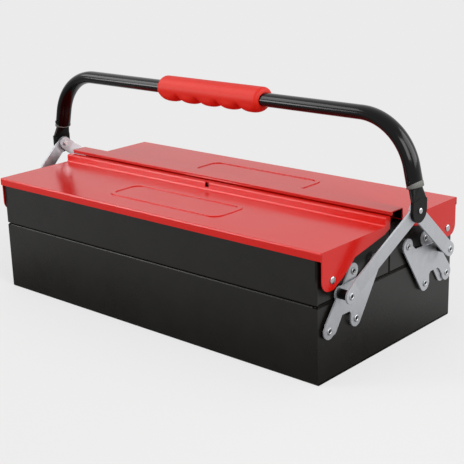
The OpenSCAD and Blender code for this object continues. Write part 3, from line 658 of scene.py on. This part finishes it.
level_rim = np.zeros(TUBE_SIDES)
slanted = FERRULE_MIDDLE + FERRULE_SLANT * np.cos(np.linspace(0, 2 * pi, TUBE_SIDES, endpoint=False))
climb = np.stack([level_rim, level_rim, level_rim + FERRULE_LIP, slanted, slanted + FERRULE_BEVEL,
                  slanted + FERRULE_BEVEL, level_rim])
end_ring = np.repeat(half_run[-1:], len(FERRULE_PROUD), 0)
band = oval_run(end_ring, TUBE_DEEP + FERRULE_PROUD, TUBE_WIDE + FERRULE_PROUD)
band = band + climb[:, :, None] * np.array([-cos(BEND_TURN), 0, sin(BEND_TURN)])
ferrules = skin("tube_end_ferrules", [band[::-1], band * [-1, 1, 1]], WORN_STEEL)
soften(ferrules, 0, FERRULE_SMOOTH)
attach(ferrules, "handle")

# ---- brackets ----
# Each bracket is a steel plug in the tube's end, drawn down to a flat cheek that the arms hang
# from, in satin black. A small pin holds the plug, and a bright domed rivet carries the arms.
BRACKET_IN, BRACKET_OUT, HANDLE_PIVOT = 0.2339, 0.2415, (0.0, 0.1375)
HANDLE_HEAD_R, HANDLE_HEAD_H, HANDLE_SHANK_R = 0.0027, 0.0014, 0.0021

# Satin black enamel is nearly as dark as the tube's, but its rougher coat spreads the lamps' light
# and leaves no bright line. Its orange peel is about 1.4 mm across.
BLACK_BRACKET = enamel("satin black enamel", "#060605", 0.38, 0.1, 0.0014, ior=1.23)

coat(BLACK_BRACKET, "handle_end_brackets", edge=0.0004)
coat(BLACK_GLOSS, "socket_rivets", edge=0.0003)
handle_rivet = domed(BRACKET_IN, BRACKET_OUT, HANDLE_HEAD_R, HANDLE_HEAD_H, HANDLE_SHANK_R)
rivets("handle_pivot_domes", handle_rivet, HANDLE_PIVOT, (1,), "handle", "handle_pivot_rivets")

# ---- arms ----
# Each arm is blanked from 2 mm zinc plated strip and stepped outwards on its way up from the
# rocker to the bracket's pivot. A satin black sleeve holds its broad lower end off the rocker.
coat(ZINC, "front_arms", "rear_arms", edge=0.0003)
coat(BLACK_BRACKET, "front_arm_spacers", "rear_arm_spacers", edge=0)

# ---- grip ----
# A soft red vinyl grip is moulded over the tube: smooth on top, with five finger lobes
# underneath and a rounded lip round the tube at each end.
GRIP_HALF, GRIP_R, GRIP_LOBE, GRIP_CUSP, GRIP_LOBES = 0.134 / 2, 0.0119, 0.0016, 0.0040, 5
GRIP_WIDE, GRIP_END, GRIP_GAP, GRIP_INSIDE = 1.15, 0.004, 0.0001, 0.9
CUSP_POWER, UNDER_STARTS, UNDER_FADE = 2.6, 0.2, 0.6
GRIP_RINGS, GRIP_SIDES, GRIP_SMOOTH = 241, 96, 50

# Underneath, the radius is largest in the middle of each lobe and falls to a cusp between two, by
# the distance from the lobe's middle to the power CUSP_POWER. A smoothstep of how far a point faces
# down brings the lobes in, and a quarter circle of radius GRIP_END rounds both ends.
grip_x = np.linspace(-1, 1, GRIP_RINGS)
grip_turn = np.linspace(0, 2 * pi, GRIP_SIDES, endpoint=False)
from_lobe = np.abs(np.mod((grip_x + 1) / 2 * GRIP_LOBES, 1) * 2 - 1)
low = GRIP_R + GRIP_LOBE - GRIP_CUSP * from_lobe ** CUSP_POWER
underneath = np.clip((-np.cos(grip_turn) - UNDER_STARTS) / UNDER_FADE, 0, 1)
underneath = underneath * underneath * (3 - 2 * underneath)
from_end = np.clip((1 - np.abs(grip_x)) * GRIP_HALF / GRIP_END, 0, 1)
rounding = GRIP_END * (1 - np.sqrt(1 - (1 - from_end) ** 2))
grip_r = GRIP_R + (low - GRIP_R)[:, None] * underneath[None, :] - rounding[:, None]
surface = np.stack([np.repeat((grip_x * GRIP_HALF)[:, None], GRIP_SIDES, 1),
                    GRIP_WIDE * grip_r * np.sin(grip_turn), grip_r * np.cos(grip_turn)], -1)

# The skin turns in at each end to the tube and runs along it inside the grip, so that it is closed.
mouth = np.stack([np.zeros(GRIP_SIDES), (TUBE_WIDE / 2 + GRIP_GAP) * np.sin(grip_turn),
                  (TUBE_DEEP / 2 + GRIP_GAP) * np.cos(grip_turn)], -1)[None]
to_end = np.array([GRIP_HALF, 0, 0])
surface = np.concatenate([mouth + to_end, mouth + to_end * GRIP_INSIDE, mouth - to_end * GRIP_INSIDE,
                          mouth - to_end, surface, mouth + to_end])
surface[:, :, 2] += TUBE_TOP

# Moulded soft vinyl is a saturated red, a little uneven over patches of about 11 mm, with a low,
# wide sheen. The mould's fine matt grain is drawn coarser than it is, about 0.55 mm across.
VINYL_RED, VINYL_SHADE = "#e02c1d", "#d42418"
PORE_SCALE, PORE_DEPTH, PORE_STRENGTH, TINT_SCALE = 1800.0, 0.0001, 0.15, 90.0
VINYL = bpy.data.materials.new("moulded red vinyl")
VINYL.use_nodes = True
tree = VINYL.node_tree
shader = tree.nodes["Principled BSDF"]
at = node(tree, "ShaderNodeTexCoord").outputs["Object"]
pores = node(tree, "ShaderNodeTexNoise", Vector=at, Scale=PORE_SCALE, Detail=2.0)
bump = node(tree, "ShaderNodeBump", Strength=PORE_STRENGTH, Distance=PORE_DEPTH,
            Height=pores.outputs["Fac"])
tree.links.new(bump.outputs[0], shader.inputs["Normal"])
uneven = node(tree, "ShaderNodeTexNoise", Vector=at, Scale=TINT_SCALE, Detail=4.0)
tint = node(tree, "ShaderNodeMix", {"data_type": "RGBA"}, in0=uneven.outputs["Fac"],
            in6=linear(VINYL_RED), in7=linear(VINYL_SHADE))
tree.links.new(tint.outputs[2], shader.inputs["Base Color"])
shader.inputs["Roughness"].default_value = 0.5
shader.inputs["IOR"].default_value = 1.3

grip = skin("grip", [surface], VINYL)
soften(grip, 0, GRIP_SMOOTH)
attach(grip, "handle")
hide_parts("handle_grip")
